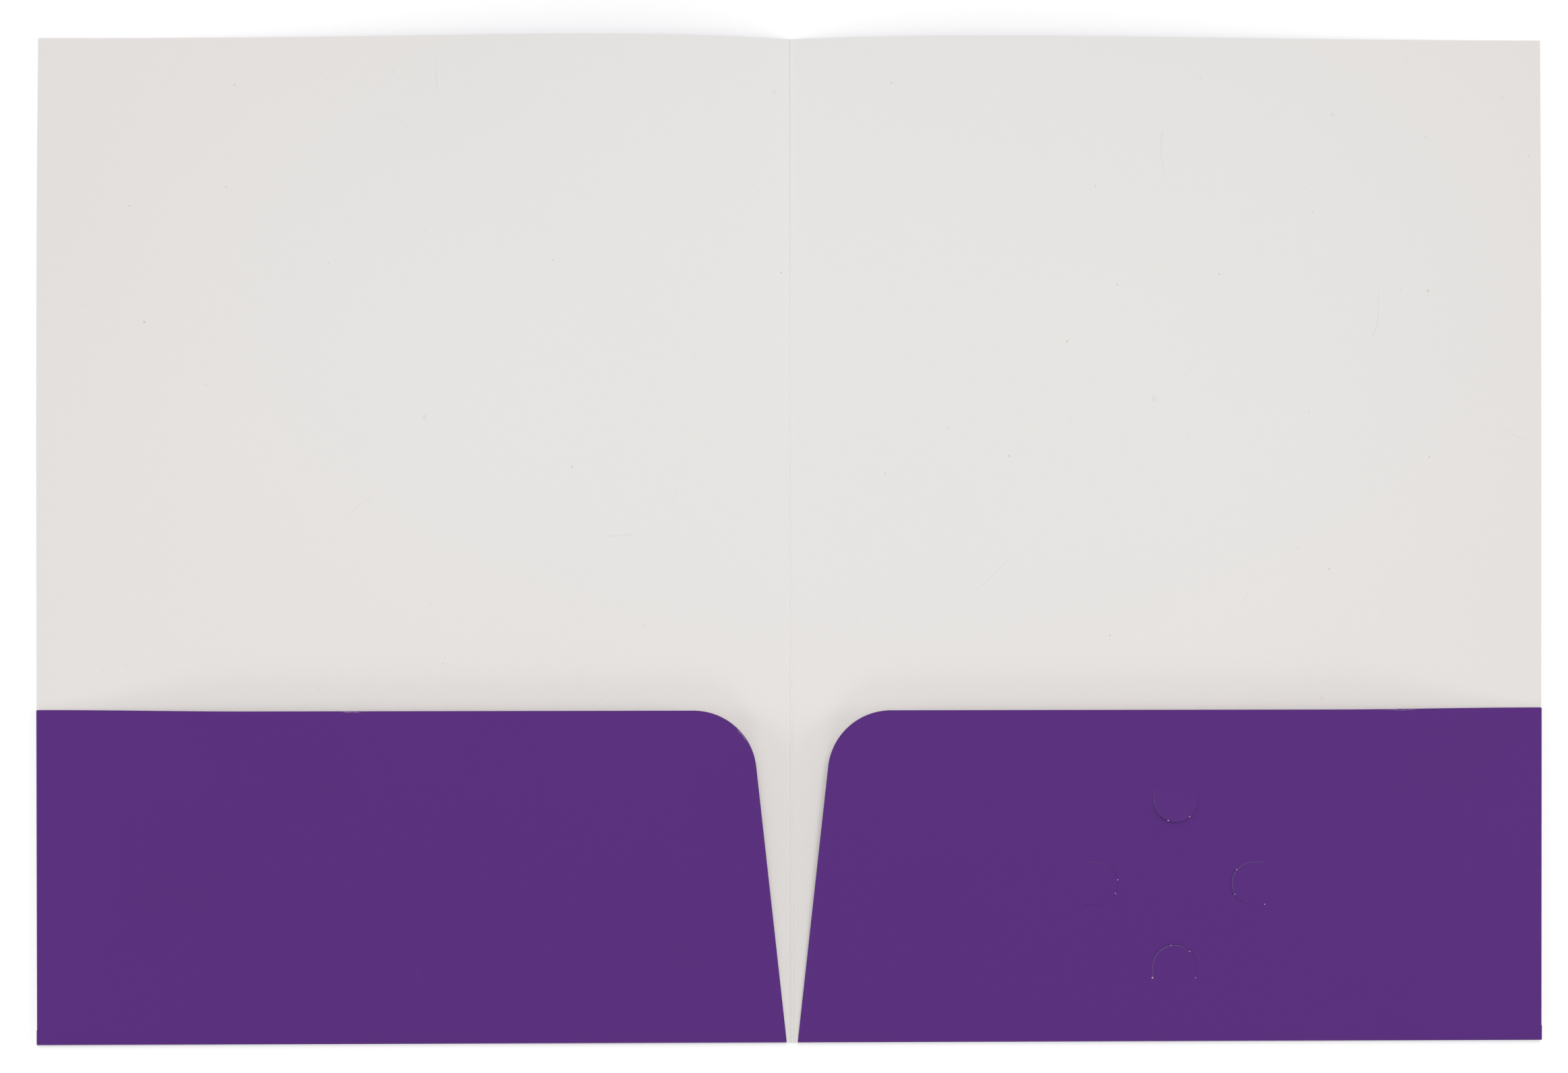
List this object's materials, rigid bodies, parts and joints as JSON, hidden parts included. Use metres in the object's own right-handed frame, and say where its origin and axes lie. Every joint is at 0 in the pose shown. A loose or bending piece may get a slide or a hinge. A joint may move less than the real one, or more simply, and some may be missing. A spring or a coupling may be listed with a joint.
{
  "type": "two pocket folder",
  "caption": "Letter size presentation folder, folded from laminated board, with a gaping pocket inside each cover and half-round card tabs cut in the back pocket.",
  "frame": {"origin": "on the table, under the middle of the spine crease, with the folder lying open and its inside up", "axes": "+X across the spread towards the back cover, +Y up the page to the head, +Z away from the table"},
  "size_m": [0.4572, 0.3048, 0.0058],
  "materials": {
    "white_board": "uncoated",
    "purple_film": "satin",
    "laminated_board": "satin",
    "adhesive": "translucent"
  },
  "bodies": {
    "back_cover": {"back_cover_board": "white_board", "back_cover_film": "purple_film", "spine_crease_board": "white_board", "spine_crease_film": "purple_film", "back_glue_tab": "laminated_board", "back_glue_line": "adhesive"},
    "front_cover": {"front_cover_board": "white_board", "front_cover_film": "purple_film", "front_glue_tab": "laminated_board", "front_glue_line": "adhesive"},
    "back_fold": {"back_bottom_fold": "laminated_board", "back_side_fold": "laminated_board"},
    "front_fold": {"front_bottom_fold": "laminated_board", "front_side_fold": "laminated_board"},
    "back_pocket": {"back_pocket_board": "white_board", "back_pocket_film": "purple_film"},
    "front_pocket": {"front_pocket_board": "white_board", "front_pocket_film": "purple_film"},
    "card_tab_top": {"card_tab_top_board": "white_board", "card_tab_top_film": "purple_film"},
    "card_tab_bottom": {"card_tab_bottom_board": "white_board", "card_tab_bottom_film": "purple_film"},
    "card_tab_left": {"card_tab_left_board": "white_board", "card_tab_left_film": "purple_film"},
    "card_tab_right": {"card_tab_right_board": "white_board", "card_tab_right_film": "purple_film"}
  },
  "joints": [
    {"name": "cover_fold", "type": "hinge", "parent": "back_cover", "child": "front_cover", "pos_m": [0, 0, 0.00135], "axis": [0, 1, 0], "range_deg": [0, 180], "deforming": ["front_side_fold", "back_side_fold"]},
    {"name": "front_pocket_open", "type": "hinge", "parent": "front_cover", "child": "front_fold", "pos_m": [0, -0.1518, 0.0006], "axis": [-1, 0, 0], "range_deg": [-6, 0], "stiffness_Nm_per_rad": 0.02},
    {"name": "front_pocket_press", "type": "hinge", "parent": "front_fold", "child": "front_pocket", "pos_m": [0, -0.1518, 0.0006], "axis": [-1, 0, 0], "range_deg": [0, 2.6]},
    {"name": "back_pocket_open", "type": "hinge", "parent": "back_cover", "child": "back_fold", "pos_m": [0, -0.1518, 0.0006], "axis": [-1, 0, 0], "range_deg": [-6, 0], "stiffness_Nm_per_rad": 0.02},
    {"name": "back_pocket_press", "type": "hinge", "parent": "back_fold", "child": "back_pocket", "pos_m": [0, -0.1518, 0.0006], "axis": [-1, 0, 0], "range_deg": [0, 2.6]},
    {"name": "card_tab_top_lift", "type": "hinge", "parent": "back_pocket", "child": "card_tab_top", "pos_m": [0.116, -0.07481, 0.0047], "axis": [1, 0, 0], "range_deg": [-30, 0], "stiffness_Nm_per_rad": 0.0002},
    {"name": "card_tab_bottom_lift", "type": "hinge", "parent": "back_pocket", "child": "card_tab_bottom", "pos_m": [0.116, -0.13275, 0.00207], "axis": [-1, 0, 0], "range_deg": [-30, 0], "stiffness_Nm_per_rad": 0.0002},
    {"name": "card_tab_left_lift", "type": "hinge", "parent": "back_pocket", "child": "card_tab_left", "pos_m": [0.0886, -0.10378, 0.00338], "axis": [0, 0.999, 0.0454], "range_deg": [-30, 0], "stiffness_Nm_per_rad": 0.0002},
    {"name": "card_tab_right_lift", "type": "hinge", "parent": "back_pocket", "child": "card_tab_right", "pos_m": [0.1434, -0.10378, 0.00338], "axis": [0, -0.999, -0.0454], "range_deg": [-30, 0], "stiffness_Nm_per_rad": 0.0002}
  ],
  "couplings": [
    {"joint": "front_pocket_press", "follows": "cover_fold", "ratio": 0.014444},
    {"joint": "back_pocket_press", "follows": "cover_fold", "ratio": 0.014444}
  ]
}
